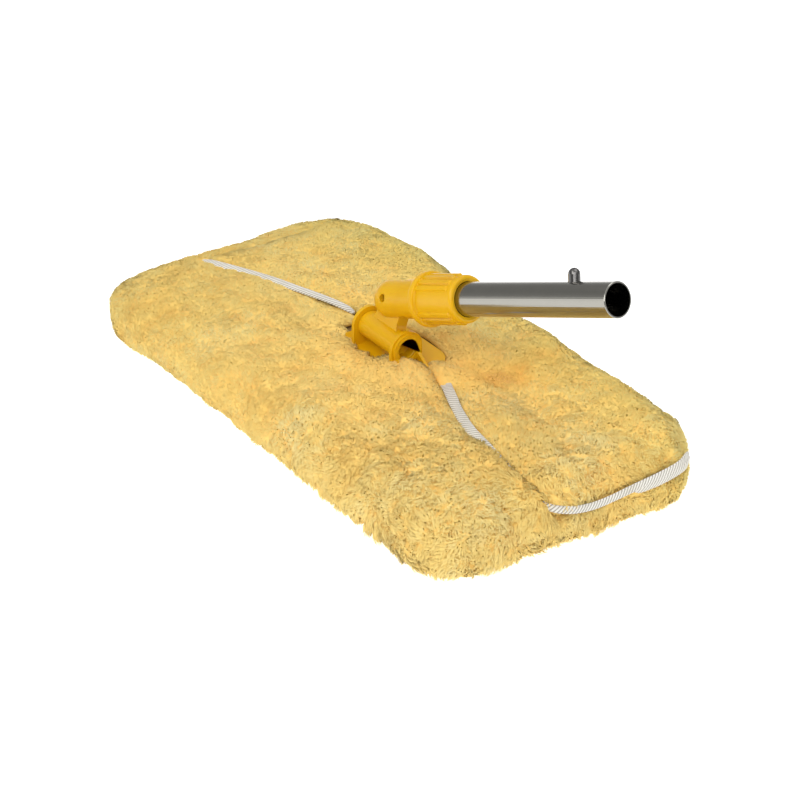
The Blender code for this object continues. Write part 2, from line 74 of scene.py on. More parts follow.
# Hills (+) and hollows (-) of the skin: rise, middle x and y, radius x and y, and turn
FAR_SIDE_FOLDS = [(6.0, 44, 108, 46, 34), (4.5, -106, 108, 40, 30), (4.5, 125, 108, 44, 34)]
FLAP_FOLDS = [
    (3.8, -120, 62, 62, 34),
    (2.0, 150, 60, 40, 40),
    (-6.5, 70, 42, 17, 11, 0.4),
    (-3.6, 118, 34, 46, 6, -0.25),
    (2.6, 110, 12, 52, 9, -0.3),
    (4.8, 54, 15, 15, 13),
]
NEAR_PANEL_FOLDS = [
    (3.6, 149, -28, 18, 10, -0.2),
    (-1.5, 92, -14, 38, 11, -0.35),
    (6.5, 30, -18, 24, 13, 0.3),
    (2.5, -12, -34, 30, 14),
    (7.0, 46, -2, 13, 12),
    (1.6, -60, -60, 60, 26),
]

# Where painted shade darkens the wool in the dent, and where the near panel's wool may lie over the
# binding
PAINTED_DENT_SHADE = (70, 42, 19, 12, 0.4)
OVER_TAPE = (148, -28, 36, 16, -0.15)


# --- Numbers -------------------------------------------------------------------------------------


def lattice(points, size, seed):
    """Smooth noise from -1 to 1 at each point; size is its grain."""
    grid = points / size + seed * 17.31
    cell = np.floor(grid).astype(np.int64)
    part = grid - cell
    part = part**3 * (part * (part * 6 - 15) + 10)
    total = np.zeros(len(points))
    for corner in range(8):
        step = np.array([corner & 1, corner >> 1 & 1, corner >> 2 & 1])
        at = cell + step
        key = at[:, 0] * 73856093 ^ at[:, 1] * 19349663 ^ at[:, 2] * 83492791
        key = ((key & 0xFFFFFF) * 1274126177) >> 7
        key = ((key & 0xFFFFFF) * 747796405) >> 9
        value = (key & 0xFFFF) / 32767.5 - 1
        total += value * np.prod(np.where(step, part, 1 - part), axis=1)
    return total


def ramp(value, low, high):
    """0 below low, 1 above high, smooth between."""
    t = np.clip((value - low) / (high - low), 0, 1)
    return t * t * (3 - 2 * t)


def unit(vectors):
    return vectors / np.maximum(np.linalg.norm(vectors, axis=1), 1e-9)[:, None]


def slab_distance(p):
    """How far a point is outside (+) or inside (-) the pad's rounded form."""
    q = np.abs(p[:, :2]) - (np.array([HALF_LENGTH, HALF_WIDTH]) - CORNER)
    plan = np.hypot(*np.maximum(q, 0).T) + np.minimum(q.max(1), 0) - CORNER
    a = plan + EDGE
    b = np.abs(p[:, 2] - HEIGHT / 2) - (HEIGHT / 2 - EDGE)
    return np.hypot(np.maximum(a, 0), np.maximum(b, 0)) + np.minimum(np.maximum(a, b), 0) - EDGE


def bump(p, x, y, radius_x, radius_y, turn=0.0):
    """A soft round hill in plan, 1 at its middle."""
    dx, dy = p[:, 0] - x, p[:, 1] - y
    u = (dx * cos(turn) + dy * sin(turn)) / radius_x
    v = (-dx * sin(turn) + dy * cos(turn)) / radius_y
    return np.exp(-(u * u + v * v))


def catmull(points, step):
    """Evenly spaced points, step apart, on a smooth curve through the given ones."""
    knots = np.array(points, float)
    knots = np.vstack([2 * knots[0] - knots[1], knots, 2 * knots[-1] - knots[-2]])
    t = np.linspace(0, 1, 24, endpoint=False)[:, None]
    path = []
    for a, b, c, d in zip(knots, knots[1:], knots[2:], knots[3:]):
        path.append(0.5 * (2 * b + (c - a) * t + (2 * a - 5 * b + 4 * c - d) * t**2
                           + (3 * b - a - 3 * c + d) * t**3))
    path = np.vstack(path + [knots[-2:-1]])
    run = np.concatenate([[0], np.cumsum(np.linalg.norm(np.diff(path, axis=0), axis=1))])
    at = np.linspace(0, run[-1], max(int(run[-1] / step), 2))
    return np.stack([np.interp(at, run, path[:, k]) for k in range(3)], axis=1)


# --- Meshes --------------------------------------------------------------------------------------


def link(obj):
    bpy.context.scene.collection.objects.link(obj)
    return obj


def read_vectors(items, key):
    flat = np.empty(len(items) * 3, np.float32)
    items.foreach_get(key, flat)
    return flat.reshape(-1, 3).astype(float)


def read_points(mesh):
    return read_vectors(mesh.vertices, "co") / MM


def read_normals(mesh):
    return read_vectors(mesh.vertex_normals, "vector")


def read_quads(mesh):
    """The four points of each face of an all-quad mesh."""
    loops = np.empty(len(mesh.loops), np.int32)
    mesh.loops.foreach_get("vertex_index", loops)
    return loops.reshape(-1, 4)


def write_points(mesh, points):
    mesh.vertices.foreach_set("co", (points * MM).astype(np.float32).ravel())
    mesh.update()


def add_float(mesh, name, values):
    layer = mesh.attributes.new(name, "FLOAT", "POINT")
    layer.data.foreach_set("value", np.asarray(values, np.float32))


def add_layout(mesh, flat):
    """The flat layout that the materials are baked on."""
    layer = mesh.uv_layers.new(name="OFBake")
    layer.uv.foreach_set("vector", flat.astype(np.float32).ravel())


def baked(obj):
    """Apply every modifier on obj."""
    bpy.context.view_layer.update()
    depsgraph = bpy.context.evaluated_depsgraph_get()
    mesh = bpy.data.meshes.new_from_object(obj.evaluated_get(depsgraph), depsgraph=depsgraph)
    obj.modifiers.clear()
    obj.data = mesh
    mesh.name = obj.name
    return obj


def build_mesh(name, points, faces):
    """A mesh from points and lists of equal-sized faces, as number arrays."""
    mesh = bpy.data.meshes.new(name)
    mesh.vertices.add(len(points))
    mesh.vertices.foreach_set("co", (points * MM).astype(np.float32).ravel())
    loops = np.concatenate([f.ravel() for f in faces])
    sizes = np.concatenate([np.full(len(f), f.shape[1]) for f in faces])
    mesh.loops.add(len(loops))
    mesh.loops.foreach_set("vertex_index", loops.astype(np.int32))
    mesh.polygons.add(len(sizes))
    starts = np.concatenate([[0], np.cumsum(sizes)[:-1]])
    mesh.polygons.foreach_set("loop_start", starts.astype(np.int32))
    mesh.polygons.foreach_set("use_smooth", np.ones(len(sizes), bool))
    mesh.update(calc_edges=True)
    return mesh


def averaged(mesh, values, rounds, weight=None):
    """values smoothed over each point's neighbours."""
    edges = np.empty(len(mesh.edges) * 2, np.int32)
    mesh.edges.foreach_get("vertices", edges)
    a, b = edges.reshape(-1, 2).T
    size = len(values)
    count = np.maximum(np.bincount(a, minlength=size) + np.bincount(b, minlength=size), 1)
    share = 0.5 if weight is None else 0.5 * weight[:, None]
    values = values.copy()
    for _ in range(rounds):
        mean = np.empty_like(values)
        for k, column in enumerate(values.T):
            mean[:, k] = (np.bincount(a, column[b], size) + np.bincount(b, column[a], size)) / count
        values += (mean - values) * share
    return values


def tree_of(points):
    tree = kdtree.KDTree(len(points))
    for i, p in enumerate(points):
        tree.insert(p, i)
    tree.balance()
    return tree


# --- Wool base ------------------------------------------------------------------------------------


def puffed(obj):
    """A short cloth run under pressure: the outer skin swells, the walls round the foam stay."""
    rest = read_points(obj.data)
    inner = slab_distance(rest) < -HELD_DEPTH
    held = obj.vertex_groups.new(name="held")
    held.add([int(i) for i in np.nonzero(inner)[0]], 1.0, "REPLACE")
    cloth = obj.modifiers.new("puff", "CLOTH")
    settings = cloth.settings
    settings.quality = 4
    settings.use_pressure = True
    settings.uniform_pressure_force = 4.0
    settings.tension_stiffness = 12
    settings.compression_stiffness = 12
    settings.bending_stiffness = 1.5
    settings.vertex_group_mass = "held"
    settings.effector_weights.gravity = 0.0
    scene = bpy.context.scene
    for frame_number in range(1, PUFF_FRAMES + 1):
        scene.frame_set(frame_number)
    baked(obj)
    scene.frame_set(1)
    obj.vertex_groups.clear()
    moved = read_points(obj.data) - rest
    far = np.linalg.norm(moved, axis=1)
    moved *= (np.minimum(far, PUFF_CAP) / np.maximum(far, 1e-6))[:, None]
    write_points(obj.data, rest + moved)


def wool_base(node, name):
    """The CAD solid's form on an even grid, puffed, smoothed and subdivided."""
    obj = link(bpy.data.objects.new(name, nodes[node].data.copy()))
    grid = obj.modifiers.new("grid", "REMESH")
    grid.mode = "VOXEL"
    grid.voxel_size = VOXEL * MM
    baked(obj)
    puffed(obj)
    soft = obj.modifiers.new("finer", "SUBSURF")
    soft.levels = 1
    baked(obj)
    mesh = obj.data
    points = read_points(mesh)
    outer = ramp(slab_distance(points), -CAVITY_DEPTH, -2.0)
    points = averaged(mesh, points, 6, outer)
    write_points(mesh, points)
    mesh.materials.clear()
    return obj, outer


def clump_tree(points, outer, spacing, rng):
    """Clump middles on the outer skin, one to each cell of an uneven grid."""
    chosen = np.nonzero(outer > 0.4)[0]
    rng.shuffle(chosen)
    wobble = np.stack([lattice(points[chosen], 30, 40 + k) for k in range(3)], axis=1) * 5
    cells = np.floor((points[chosen] + wobble) / spacing).astype(np.int64)
    _, first = np.unique(cells @ np.array([1, 4096, 16777216]), return_index=True)
    middles = points[chosen[first]]
    return tree_of(middles), middles


def nearest_two(tree, points):
    """Each point's nearest clump, and how far it is from that one and from the next."""
    found = np.array([[h[1] for h in hits] + [h[2] for h in hits]
                      for hits in (tree.find_n(p, 2) for p in points)])
    return found[:, 0].astype(int), found[:, 2], found[:, 3]


def hills(p, table):
    return sum(rise * bump(p, *where) for rise, *where in table)


def folds(p, flap):
    """The pad's large soft shapes, as movement outward."""
    x, y, z = p.T
    near_side = ramp(-y, 90, 106)
    move = 2.2 * lattice(p, 52, 1) + 1.4 * lattice(p, 23, 2)
    move += 7.0 * bump(p, -204, -88, 34, 34) * ramp(-z, -42, -28)
    move -= 2.6 * bump(p, -208, 5, 26, 44) * ramp(z, 20, 38)
    move += hills(p, FAR_SIDE_FOLDS)
    move += 1.6 * near_side * ramp(-x, -90, 0) - 1.0 * near_side
    move += 1.2 * ramp(x, 190, 208) * ramp(y, -60, 20) * ramp(-z, -24, -14)
    if flap:
        move += hills(p, FLAP_FOLDS) + 4.5 * ramp(x, 196, 204)
    else:
        move += hills(p, NEAR_PANEL_FOLDS)
    return move


def mounds(points, tree, middles, reach, rng):
    """Overlapping tufts: each clump is a low mound that tips its own way, so they meet in steps."""
    index, first, second = nearest_two(tree, points)
    way = unit(rng.normal(size=(len(middles), 3)) + np.array([0.4, -0.5, -0.3]))
    offset = points - middles[index]
    tipped = np.sum(offset * way[index], axis=1) / reach
    rise = 1 - np.minimum(first / (reach * 0.8), 1.3) ** 2
    seam = np.exp(-(((second - first) / (0.16 * reach)) ** 2))
    return rise + 0.9 * tipped - 0.8 * seam


def wool_form(obj, outer, flap, rng):
    """Give a wool base its folds and clumps, and return what the pile needs."""
    mesh = obj.data
    points = read_points(mesh)
    normals = unit(averaged(mesh, read_normals(mesh), 3))
    tree, middles = clump_tree(points, outer, CLUMP, rng)
    big_tree, big_middles = clump_tree(points, outer, BIG_CLUMP, rng)
    near = np.nonzero(outer > 0.02)[0]
    shaggy = shagginess(points[near])
    relief = 0.4 * lattice(points, 8.5, 3) + 0.2 * lattice(points, 4.2, 4)
    small = mounds(points[near], tree, middles, CLUMP, rng)
    large = mounds(points[near], big_tree, big_middles, BIG_CLUMP, rng)
    relief[near] += (0.32 + 0.6 * shaggy) * small
    relief[near] += (0.5 + 1.5 * shaggy) * large
    sole = ramp(-normals[:, 2], 0.4, 0.8) * ramp(-points[:, 2], -10, -3)
    shape = folds(points, flap) * (1 - 0.7 * sole) + relief * (1 - 0.4 * sole)
    move = np.maximum((shape - SETTLE) * outer, -DEEPEST)
    points = points + normals * move[:, None]
    points[:, :2] += opening_lean(points)
    if flap:
        points[:, 2] -= 5.0 * ramp(points[:, 0], 186, 206) * ramp(points[:, 2], 30, 40)
    points[:, 2] = np.maximum(points[:, 2], BASE_CLEAR)
    write_points(mesh, points)
    # The relief's height, which the wool colour turns into painted shade: darker and more orange low
    # down
    crest_shade = 0.5 + relief * 0.24
    # Painted shade: the dent's wool is coloured darker
    if flap:
        crest_shade -= 1.5 * bump(points, *PAINTED_DENT_SHADE)
    crest_shade = np.clip(crest_shade, -0.9, 1)
    add_float(mesh, "pile", 0.1 + 0.4 * crest_shade)
    add_float(mesh, "tone", np.full(len(points), 0.5))
    return normals, tree, middles, crest_shade


def shagginess(p):
    """Where the pile is longer and curlier: towards the near right-hand end."""
    return ramp(p[:, 0] - 0.8 * p[:, 1], 30, 230)


def opening_lean(points):
    """How the near lip of the opening hangs over the bracket's base."""
    from_middle = points[:, :2] - OPENING_CENTRE
    rho = np.linalg.norm(from_middle / OPENING_RADII, axis=1)
    side = np.maximum(ramp(-from_middle[:, 1], 2, 18), 0.6 * ramp(from_middle[:, 0], 30, 44))
    share = ramp(-rho, -1.6, -1.0) * ramp(points[:, 2], 40.5, 43.5) * side
    share *= rho > 0.9
    return -from_middle * (0.42 * share)[:, None]


# --- Locks of wool ---------------------------------------------------------------------------------


def roots_on(obj, outer, crest_shade, rng, layers):
    """Layers of roots, one on each outer face and fewer on the sole: (place, normal, crest height,
    which sets the painted shade).
    """
    mesh = obj.data
    quads = read_quads(mesh)
    count = len(quads)
    smooth = unit(averaged(mesh, read_normals(mesh), 4))
    share = outer[quads].mean(1)
    normals = unit(smooth[quads].mean(1))
    corners = read_points(mesh)[quads]
    height = crest_shade[quads].mean(1)
    found = []
    for _ in range(layers):
        a, b = rng.random((2, count, 1))
        place = (corners[:, 0] * (1 - a) + corners[:, 1] * a) * (1 - b)
        place += (corners[:, 3] * (1 - a) + corners[:, 2] * a) * b
        below = (normals[:, 2] < -0.6) & (place[:, 2] < 8)
        keep = (share > 0.25) & (rng.random(count) < np.where(below, SOLE_SHARE, 1.0))
        found.append((place[keep], normals[keep], height[keep]))
    return [np.concatenate(part) for part in zip(*found)]


def lock_mesh(name, root, normal, lean, length, radius, tone, crest_shade, rng):
    """Tapered curls lying on their flat side: two rings of three points and a tip each."""
    count = len(root)
    side = unit(np.cross(normal, lean + 1e-4))
    turn = rng.random(count) * 2 * pi
    curl = (0.05 + 0.13 * rng.random(count)) * length
    centres = []
    for s in (0.0, 0.55, 1.0):
        rise = normal * (length * s * (0.8 - 0.3 * s))[:, None]
        bend = lean * (length * s**1.4)[:, None]
        swing = np.sin(turn + 4.2 * s) - np.sin(turn)
        centres.append(root + rise + bend + side * (curl * swing)[:, None])
    points = np.empty((count, LOCK_POINTS, 3))
    for ring, wide in enumerate((1.0, 0.8)):
        along = unit(centres[ring + 1] - centres[ring])
        across = unit(np.cross(along, normal))
        lift = np.cross(across, along)
        for k, (u, v) in enumerate(((-1.0, -0.25), (1.0, -0.25), (0.0, 0.5))):
            rim = (across * u + lift * v) * (radius * wide)[:, None]
            points[:, ring * 3 + k] = centres[ring] + rim
    points[:, 6] = centres[2]
    points[:, :, 2] = np.maximum(points[:, :, 2], FLOOR_CLEAR)
    quads = np.array([[3 + k, 3 + (k + 1) % 3, (k + 1) % 3, k] for k in range(3)])
    tris = np.array([[6, 3 + (k + 1) % 3, 3 + k] for k in range(3)] + [[0, 1, 2]])
    base = np.arange(count)[:, None, None] * LOCK_POINTS
    mesh = build_mesh(name, points.reshape(-1, 3),
                      [(quads[None] + base).reshape(-1, 4), (tris[None] + base).reshape(-1, 3)])
    # Painted shade along each lock: darker towards its root, lighter at its tip, and darker where the
    # relief is low
    along_lock = np.array([0.0] * 3 + [0.6] * 3 + [1.0])
    add_float(mesh, "pile", (0.2 + 0.45 * crest_shade[:, None] + 0.35 * along_lock[None]).ravel())
    add_float(mesh, "tone", np.repeat(tone, LOCK_POINTS))
    lock_layout(mesh, count)
    round_it = unit((points - points.mean(1, keepdims=True)).reshape(-1, 3))
    soft = unit(np.repeat(normal, LOCK_POINTS, axis=0) * 3.0 + round_it)
    mesh.normals_split_custom_set_from_vertices(soft.astype(np.float32))
    return mesh


def lock_layout(mesh, count):
    """Each lock's faces laid side by side in its own small cell, for baking."""
    cells = int(np.ceil(np.sqrt(count)))
    strips, tips = [], []
    for left, right in ((0.0, 1 / 3), (1 / 3, 2 / 3), (2 / 3, 1.0)):
        strips.append([(left, 0.0), (right, 0.0), (right, 0.5), (left, 0.5)])
        tips.append([(left, 0.5), (right, 0.5), ((left + right) / 2, 0.85)])
    tips.append([(0.1, 0.9), (0.4, 0.9), (0.25, 0.99)])
    where = np.arange(count)
    origin = np.stack([where % cells, where // cells], axis=1)[:, None, :]
    parts = [np.array(shape).reshape(1, -1, 2) * 0.92 + 0.04 for shape in (strips, tips)]
    add_layout(mesh, np.concatenate([((part + origin) / cells).reshape(-1, 2) for part in parts]))


def grow(parent, prefix, outer, crest_shade, tree, middles, tapes, rng, parts):
    """Cover a wool base with locks, in a few pieces that follow it."""
    root, normal, height = roots_on(parent, outer, crest_shade, rng, LAYERS)
    index, _, _ = nearest_two(tree, root)
    count = len(root)
    clump_way = rng.normal(size=(len(middles), 3))[index]
    clump_tone = rng.random(len(middles))[index]
    field = np.stack([lattice(root, 19, 60 + k) for k in range(3)], axis=1)
    toward = middles[index] - root
    shaggy = shagginess(root)
    lean = field * (0.5 + 0.4 * shaggy)[:, None] + clump_way * 0.22 + toward * 0.05
    lean += rng.normal(size=(count, 3)) * 0.26
    lean[:, 2] -= 0.5 * (1 - np.abs(normal[:, 2]))
    lean -= normal * np.sum(lean * normal, axis=1)[:, None]
    length = 2.3 + 1.0 * rng.random(count) + 2.6 * shaggy + 0.4 * clump_tone
    below = (normal[:, 2] < -0.6) & (root[:, 2] < 10)
    length = np.where(below, SOLE_LOCK, length)
    close = np.array([tapes.find(p)[2] for p in root])
    kept_clear = ramp(close, *TAPE_CLEAR)
    if prefix == "sleeve_locks":
        over = bump(root, *OVER_TAPE) > 0.35
        kept_clear = np.where(over, 1.0, kept_clear)
    length *= 0.3 + 0.7 * kept_clear
    radius = 0.30 + 0.16 * rng.random(count) + 0.08 * shaggy
    tone = 0.3 * clump_tone + 0.3 * rng.random(count) + 0.2 + 0.3 * lattice(root, 30, 9)
    root = root - normal * ROOT_DEPTH
    order = np.argsort(root[:, 0], kind="stable")
    made = []
    for i, share in enumerate(np.array_split(order, parts)):
        name = f"{prefix}_{i + 1}"
        mesh = lock_mesh(name, root[share], normal[share], lean[share], length[share],
                         radius[share], np.clip(tone[share], 0, 1), height[share], rng)
        locks = link(bpy.data.objects.new(name, mesh))
        locks.parent = parent
        made.append(locks)
    return made


def base_layout(mesh, normals, outer):
    """Flat layout of a wool base: six ways it can face, for the skin and for the inner walls."""
    quads = read_quads(mesh)
    facing = normals[quads].mean(1)
    axis = np.argmax(np.abs(facing), axis=1)
    way = (facing[np.arange(len(quads)), axis] < 0).astype(int)
    inner = (outer[quads].mean(1) < 0.05).astype(int)
    chart = np.repeat(axis * 4 + way * 2 + inner, 4)
    kept = np.array([[1, 2], [0, 2], [0, 1]])[np.repeat(axis, 4)]
    corner = read_points(mesh)[quads.ravel()]
    flat = np.stack([corner[np.arange(len(corner)), kept[:, k]] for k in range(2)], axis=1)
    tall = np.repeat([60.0, 60.0, 240.0], 4)
    shift = np.concatenate([[0.0], np.cumsum(tall)[:-1]])[chart]
    low = np.array([-20.0, -20.0, -120.0])[chart // 4]
    u = (flat[:, 0] + 235) / 470
    v = (flat[:, 1] - low + shift) / tall.sum()
    add_layout(mesh, np.stack([u, v], axis=1))


# --- Bindings -------------------------------------------------------------------------------------

# Each binding's route, and the way that its face looks at the start and at the end
TAPES = {
    "slit_tape": (
        [(-183, -32, 43.6), (-170, -28, 45.4), (-155, -22, 46.2), (-132, -12, 46.6),
         (-107, -3, 46.4), (-82, 6, 46.0), (-66, 11, 45.0), (-58, 13, 43.5)],
        (0, -0.35, 1), (0, -0.3, 1)),
    "flap_tape": (
        [(48, 9, 41.0), (58, 6, 44.6), (73, -1, 46.8), (95, -10, 46.6), (116, -16.5, 46.2),
         (135, -19.5, 45.6), (154, -22, 44.6), (172, -25, 43.0), (188, -27.5, 41.0),
         (199, -26, 39.0), (207.3, -20.5, 37.0), (210.9, -9, 33.8), (211, 4, 31.4),
         (210.4, 16, 30.6), (210.4, 30, 31.6), (210.4, 45, 33.1), (210.2, 61, 34.3),
         (209.0, 76, 36.0), (202.5, 88, 36.5)],
        (0, -0.5, 1), (1, 0.2, 0.25)),
    "pocket_tape": (
        [(204, 34, 28.4), (208.6, 44, 28.6), (210.0, 56, 29.4), (210.0, 68, 30.6),
         (208.4, 80, 32.2), (202, 89, 33.0)],
        (1, 0, -0.15), (1, 0.3, 0)),
}
TAPE_HALF_WIDTH, TAPE_HALF_THICK = 3.3, 1.1
TAPE_STEP, TAPE_AROUND = 0.36, 28
TWILL = 2.4
FLAP_TAPE_TURNS = (168, 206)


def twill_tape(name, points, start_way, end_way):
    """A folded binding with raised diagonal ribs, one every TWILL along it; returns its route."""
    path = catmull(points, TAPE_STEP)
    count = len(path)
    along = unit(np.gradient(path, axis=0))
    share = np.linspace(0, 1, count)[:, None]
    bent = ramp(path[:, 0], *FLAP_TAPE_TURNS)[:, None] if name == "flap_tape" else share
    out = unit(np.array(start_way, float) * (1 - bent) + np.array(end_way, float) * bent)
    out = unit(out - along * np.sum(out * along, axis=1)[:, None])
    side = np.cross(along, out)
    run = share[:, 0] * TAPE_STEP * count
    narrow = 0.35 + 0.65 * np.clip(np.minimum(run, run[::-1]) / 7, 0, 1) ** 0.5
    half = TAPE_HALF_WIDTH * (1 - 0.25 * bent[:, 0]) * narrow * (1 + 0.06 * lattice(path, 14, 21))
    rings = np.empty((count, TAPE_AROUND, 3))
    ribs = np.empty((count, TAPE_AROUND))
    for k in range(TAPE_AROUND):
        reach, lift = cos(2 * pi * k / TAPE_AROUND), sin(2 * pi * k / TAPE_AROUND)
        flat = np.sign(reach) * abs(reach) ** 0.8 * half
        wave = np.sin(2 * pi * (run + 0.8 * flat) / TWILL)
        ribs[:, k] = wave
        thick = TAPE_HALF_THICK * (lift * (1 - 0.25 * lift)) + 0.2 * wave * (lift > -0.2)
        rings[:, k] = path + side * flat[:, None] + out * thick[:, None]
    ring = np.arange(TAPE_AROUND)
    first = np.arange(count - 1)[:, None] * TAPE_AROUND
    here, turn = first + ring, first + (ring + 1) % TAPE_AROUND
    quads = np.stack([here, turn, turn + TAPE_AROUND, here + TAPE_AROUND], axis=2).reshape(-1, 4)
    ends = [ring[::-1][None], ((count - 1) * TAPE_AROUND + ring)[None]]
    mesh = build_mesh(name + "_twill", rings.reshape(-1, 3), [quads, *ends])
    add_float(mesh, "rib", ribs.ravel())
    obj = link(bpy.data.objects.new(name + "_twill", mesh))
    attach(obj, "head")
    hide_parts(name)
    mesh.materials.append(twill)
    return path


# --- Materials ------------------------------------------------------------------------------------


class Shade:
    """Builds one node material. Sizes in it are in m."""

    def __init__(self, name, **sockets):
        self.material = bpy.data.materials.new(name)
        self.material.use_nodes = True
        self.tree = self.material.node_tree
        self.shader = self.tree.nodes["Principled BSDF"]
        for key, value in sockets.items():
            self.shader.inputs[key.replace("_", " ")].default_value = value

    def node(self, kind, inputs=None, **settings):
        made = self.tree.nodes.new("ShaderNode" + kind)
        for key, value in settings.items():
            setattr(made, key, value)
        for key, value in (inputs or {}).items():
            self.put(value, made.inputs[key])
        return made

    def put(self, value, socket):
        if isinstance(value, bpy.types.NodeSocket):
            self.tree.links.new(value, socket)
        else:
            socket.default_value = value

    def place(self):
        return self.node("TexCoord").outputs["Object"]

    def attribute(self, name):
        return self.node("Attribute", attribute_name=name).outputs["Fac"]

    def noise(self, size, detail=3.0, roughness=0.55, stretch=None):
        """Noise of that grain."""
        at = self.place()
        if stretch:
            at = self.node("Mapping", {"Vector": at, "Scale": stretch}).outputs[0]
        made = self.node("TexNoise", {"Vector": at, "Scale": 1 / size, "Detail": detail,
                                      "Roughness": roughness})
        return made.outputs["Fac"]

    def math(self, kind, a, b=0.0):
        made = self.node("Math", operation=kind)
        self.put(a, made.inputs[0])
        self.put(b, made.inputs[1])
        return made.outputs[0]

    def blend(self, a, share_a, b, share_b):
        return self.math("ADD", self.math("MULTIPLY", a, share_a), self.math("MULTIPLY", b, share_b))

    def colours(self, value, stops):
        made = self.node("ValToRGB", {"Fac": value})
        ramp_made = made.color_ramp
        while len(ramp_made.elements) < len(stops):
            ramp_made.elements.new(0.5)
        for element, (at, colour) in zip(ramp_made.elements, stops):
            element.position = at
            element.color = (*colour, 1)
        return made.outputs["Color"]

    def mix(self, share, a, b, kind="MIX"):
        made = self.node("Mix", data_type="RGBA", blend_type=kind)
        self.put(share, made.inputs[0])
        for socket, value in ((made.inputs[6], a), (made.inputs[7], b)):
            self.put((*value, 1) if isinstance(value, tuple) else value, socket)
        return made.outputs[2]

    def spread(self, value, low, high, start=0.0, end=1.0):
        made = self.node("MapRange", {"Value": value, "From Min": start, "From Max": end,
                                      "To Min": low, "To Max": high})
        return made.outputs["Result"]

    def finish(self, colour=None, roughness=None, height=None, strength=0.4, depth=0.0004):
        if colour is not None:
            self.put(colour, self.shader.inputs["Base Color"])
        if roughness is not None:
            self.put(roughness, self.shader.inputs["Roughness"])
        if height is not None:
            made = self.node("Bump", {"Height": height, "Strength": strength, "Distance": depth})
            self.put(made.outputs["Normal"], self.shader.inputs["Normal"])
        return self.material


def wool_material():
    """Golden cream at the tips in drifting patches, with painted shade: orange towards the roots and
    brown in the depths.

    It is painted a little greener towards the pad's far edge, a cast of the light, and duller towards
    its left end, painted shade.
    """
    s = Shade("wool", Roughness=0.9, Sheen_Weight=0.1, Sheen_Roughness=0.5,
              Sheen_Tint=(1.0, 0.85, 0.45, 1), Specular_IOR_Level=0.08)
    depth = s.attribute("pile")
    patches = s.blend(s.attribute("tone"), 0.45, s.noise(0.05, 3.0), 0.6)
    tips = s.colours(patches, [
        (0.3, (0.985, 0.655, 0.18)), (0.52, (0.985, 0.725, 0.24)), (0.75, (0.985, 0.79, 0.33))])
    root_shade = s.colours(s.noise(0.016, 2.0), [
        (0.3, (0.98, 0.46, 0.08)), (0.5, (0.985, 0.56, 0.12)), (0.75, (0.985, 0.63, 0.17))])
    # Painted shade: orange root colours, then brown, where the pile value is low
    colour = s.mix(s.spread(depth, 0.0, 1.0, -0.15, 0.8), root_shade, tips)
    colour = s.mix(s.spread(depth, 1.0, 0.0, -0.3, 0.14), colour, (0.78, 0.42, 0.12))
    # Painted light and shade by place: a greener cast towards the far edge, duller towards the left
    # end
    where = s.node("SeparateXYZ", {"Vector": s.place()}).outputs
    for way, start, end, light_cast in (
        ("Y", 0.03, 0.105, (0.92, 0.985, 0.94)),
        ("X", 0.08, -0.12, (0.88, 0.92, 0.925)),
    ):
        cast_colour = s.mix(1.0, colour, light_cast, "MULTIPLY")
        colour = s.mix(s.spread(where[way], 0.0, 1.0, start, end), colour, cast_colour)
    return s.finish(colour, None, s.noise(0.0009, 2.0), 0.4, 0.0004)


def twill_material():
    """Off-white thread, soiled in patches, with painted shade in the grooves between the ribs."""
    s = Shade("twill", Roughness=0.8, Sheen_Weight=0.2)
    groove_shade = s.spread(s.attribute("rib"), 0.0, 1.0, -1.0, 0.1)
    threads = s.noise(0.0006, 2.0)
    colour = s.colours(s.blend(threads, 0.5, s.noise(0.02, 3.0), 0.5), [
        (0.25, (0.60, 0.56, 0.47)), (0.5, (0.76, 0.74, 0.68)), (0.8, (0.82, 0.81, 0.77))])
    # Painted shade: dark brown in the grooves between the ribs
    colour = s.mix(groove_shade, (0.27, 0.235, 0.18), colour)
    return s.finish(colour, None, threads, 0.3, 0.0002)


def yellow_material():
    """Moulded amber yellow, a little deeper in drifts, with the faint skin of the mould."""
    s = Shade("yellow_moulding", Subsurface_Weight=0.12, Subsurface_Scale=0.002,
              Subsurface_Radius=(1.0, 0.5, 0.1), Specular_IOR_Level=0.3)
    colour = s.colours(s.noise(0.02, 3.0), [
        (0.3, (0.69, 0.375, 0.001)), (0.5, (0.73, 0.41, 0.002)), (0.7, (0.75, 0.43, 0.004))])
    gloss = s.spread(s.noise(0.006, 4.0), 0.24, 0.42)
    return s.finish(colour, gloss, s.noise(0.0008, 3.0), 0.12, 0.0001)


def steel_material(name, base, low, high):
    """Bare steel whose roughness wanders between low and high."""
    s = Shade(name, Metallic=1.0)
    colour = s.mix(s.noise(0.01, 4.0), tuple(c * 0.9 for c in base), base)
    wear = s.noise(0.003, 5.0, 0.6)
    return s.finish(colour, s.spread(wear, low, high), s.noise(0.0007, 3.0, 0.5), 0.05, 0.00005)


def plain_material(name, stops, grain, rough):
    """An even face of that grain, for the pieces inside the pad."""
    s = Shade(name)
    body = s.noise(grain, 4.0)
    dull = s.spread(s.noise(grain * 0.5, 3.0), *rough)
    return s.finish(s.colours(body, stops), dull, body, 0.5, grain * 0.15)


twill = twill_material()
wool = wool_material()
yellow = yellow_material()
steel = steel_material("polished_tube", (0.36, 0.35, 0.315), 0.12, 0.2)
dark_steel = steel_material("button_steel", (0.16, 0.155, 0.15), 0.12, 0.25)
plain_steel = steel_material("plain_steel", (0.45, 0.44, 0.42), 0.3, 0.5)
foam = plain_material(
    "foam_cells", [(0.3, (0.46, 0.44, 0.36)), (0.6, (0.66, 0.64, 0.55))], 0.002, (0.85, 1.0))
